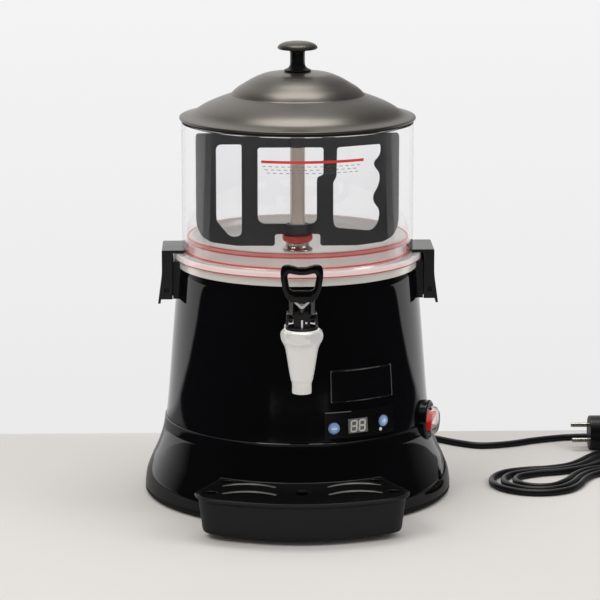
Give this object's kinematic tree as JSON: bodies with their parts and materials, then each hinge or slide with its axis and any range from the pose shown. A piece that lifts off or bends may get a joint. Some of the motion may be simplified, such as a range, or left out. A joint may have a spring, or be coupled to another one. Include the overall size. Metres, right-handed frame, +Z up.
{
  "type": "hot drink dispenser",
  "caption": "Counter-top hot chocolate dispenser: conical heated base, clear lidded bowl with a stirring paddle, side latches, lever tap over a drip tray, control panel and mains lead",
  "frame": {"origin": "on the table, under the middle of the machine with its drip tray pushed on and its lead left out", "axes": "+Z up, the tap and the tray at the front face -Y, +X to the right seen from the front"},
  "size_m": [0.5656, 0.4404, 0.4648],
  "materials": {
    "gloss_black": "gloss",
    "satin_black": "satin",
    "trim_rubber": "matt",
    "graphite_lid": "satin metallic",
    "clear_bowl": "clear",
    "red_silicone": "matt",
    "brushed_steel": "brushed",
    "polished_steel": "polished",
    "satin_chrome": "satin",
    "paddle_grey": "satin",
    "panel_film": "satin",
    "display_glass": "gloss",
    "button_blue": "gloss",
    "lamp_lens": "gloss",
    "switch_red": "gloss",
    "clear_cover": "clear",
    "board_green": "matt",
    "cast_metal": "as cast",
    "plug_black": "matt",
    "cord_black": "satin"
  },
  "bodies": {
    "housing": {"base_skirt": "gloss_black", "upper_shell": "gloss_black", "bottom_trim": "trim_rubber", "base_plate": "cast_metal", "foot_front_left": "trim_rubber", "foot_front_right": "trim_rubber", "foot_rear_left": "trim_rubber", "foot_rear_right": "trim_rubber", "top_ring": "polished_steel", "heating_plate": "brushed_steel", "plate_rim_seal": "red_silicone", "bowl": "clear_bowl", "bowl_seal": "red_silicone", "water_tank": "brushed_steel", "heating_element": "brushed_steel", "column_tube": "brushed_steel", "shaft_seal": "red_silicone", "gear_motor": "cast_metal", "motor_bracket": "cast_metal", "temperature_probe": "brushed_steel", "control_board": "board_green", "outlet_pipe": "brushed_steel", "panel_plate": "panel_film", "display_window": "display_glass", "indicator_lamp": "lamp_lens", "badge_plate": "gloss_black", "switch_bezel": "satin_black", "switch_body": "satin_black", "switch_cover": "clear_cover", "cord_grommet": "trim_rubber", "tap_shank": "satin_chrome", "tap_nut": "satin_chrome", "tap_washer": "trim_rubber", "tap_body": "satin_chrome", "tap_bonnet": "satin_black", "tap_pivot_pin": "brushed_steel", "latch_bracket_left": "satin_black", "latch_bracket_right": "satin_black", "cord_run": "cord_black", "cord_hank": "cord_black", "cord_tail": "cord_black", "mains_plug": "plug_black"},
    "lid": {"lid_dome": "graphite_lid", "lid_knob": "satin_black", "lid_gasket": "trim_rubber", "lid_knob_screw": "brushed_steel"},
    "stirrer": {"stirring_paddle": "paddle_grey", "drive_shaft": "brushed_steel", "motor_coupling": "cast_metal"},
    "lever": {"tap_lever": "satin_black"},
    "stem": {"tap_stem": "brushed_steel", "tap_seal": "red_silicone"},
    "tray": {"drip_tray": "satin_black"},
    "grate": {"drip_grate": "gloss_black"},
    "left_button": {"button_left": "button_blue"},
    "right_button": {"button_right": "button_blue"},
    "rocker": {"switch_rocker": "switch_red"},
    "left_latch": {"latch_left": "satin_black"},
    "right_latch": {"latch_right": "satin_black"}
  },
  "joints": [
    {"name": "lid_lift", "type": "slide", "parent": "housing", "child": "lid", "axis": [0, 0, 1], "range_m": [0, 0.12]},
    {"name": "stirrer_spin", "type": "hinge", "parent": "housing", "child": "stirrer", "pos_m": [0, 0.02673, 0.3], "axis": [0, 0, 1], "continuous": true},
    {"name": "tap_lever_tilt", "type": "hinge", "parent": "housing", "child": "lever", "pos_m": [0, -0.13087, 0.2133], "axis": [1, 0, 0], "range_deg": [0, 35], "stiffness_Nm_per_rad": 0.2, "springref_deg": -17.19},
    {"name": "tap_stem_lift", "type": "slide", "parent": "housing", "child": "stem", "axis": [0, 0, 1], "range_m": [0, 0.004]},
    {"name": "tray_pull", "type": "slide", "parent": "housing", "child": "tray", "axis": [0, -1, 0], "range_m": [0, 0.06]},
    {"name": "grate_lift", "type": "slide", "parent": "tray", "child": "grate", "axis": [0, 0, 1], "range_m": [0, 0.04]},
    {"name": "left_button_press", "type": "slide", "parent": "housing", "child": "left_button", "axis": [-0.2436, 0.9699, 0], "range_m": [0, 0.0008], "stiffness_N_per_m": 800, "springref_m": -0.0004},
    {"name": "right_button_press", "type": "slide", "parent": "housing", "child": "right_button", "axis": [-0.6157, 0.788, 0], "range_m": [0, 0.0008], "stiffness_N_per_m": 800, "springref_m": -0.0004},
    {"name": "rocker_tilt", "type": "hinge", "parent": "housing", "child": "rocker", "pos_m": [0.13271, -0.01511, 0.0805], "axis": [-0.3007, -0.9537, 0], "range_deg": [0, 16]},
    {"name": "left_latch_open", "type": "hinge", "parent": "housing", "child": "left_latch", "pos_m": [-0.1338, 0.02673, 0.2143], "axis": [0, -1, 0], "range_deg": [0, 30]},
    {"name": "right_latch_open", "type": "hinge", "parent": "housing", "child": "right_latch", "pos_m": [0.1338, 0.02673, 0.2143], "axis": [0, 1, 0], "range_deg": [0, 30]}
  ],
  "couplings": [
    {"joint": "tap_stem_lift", "follows": "tap_lever_tilt", "m_per_rad": 0.0065}
  ]
}
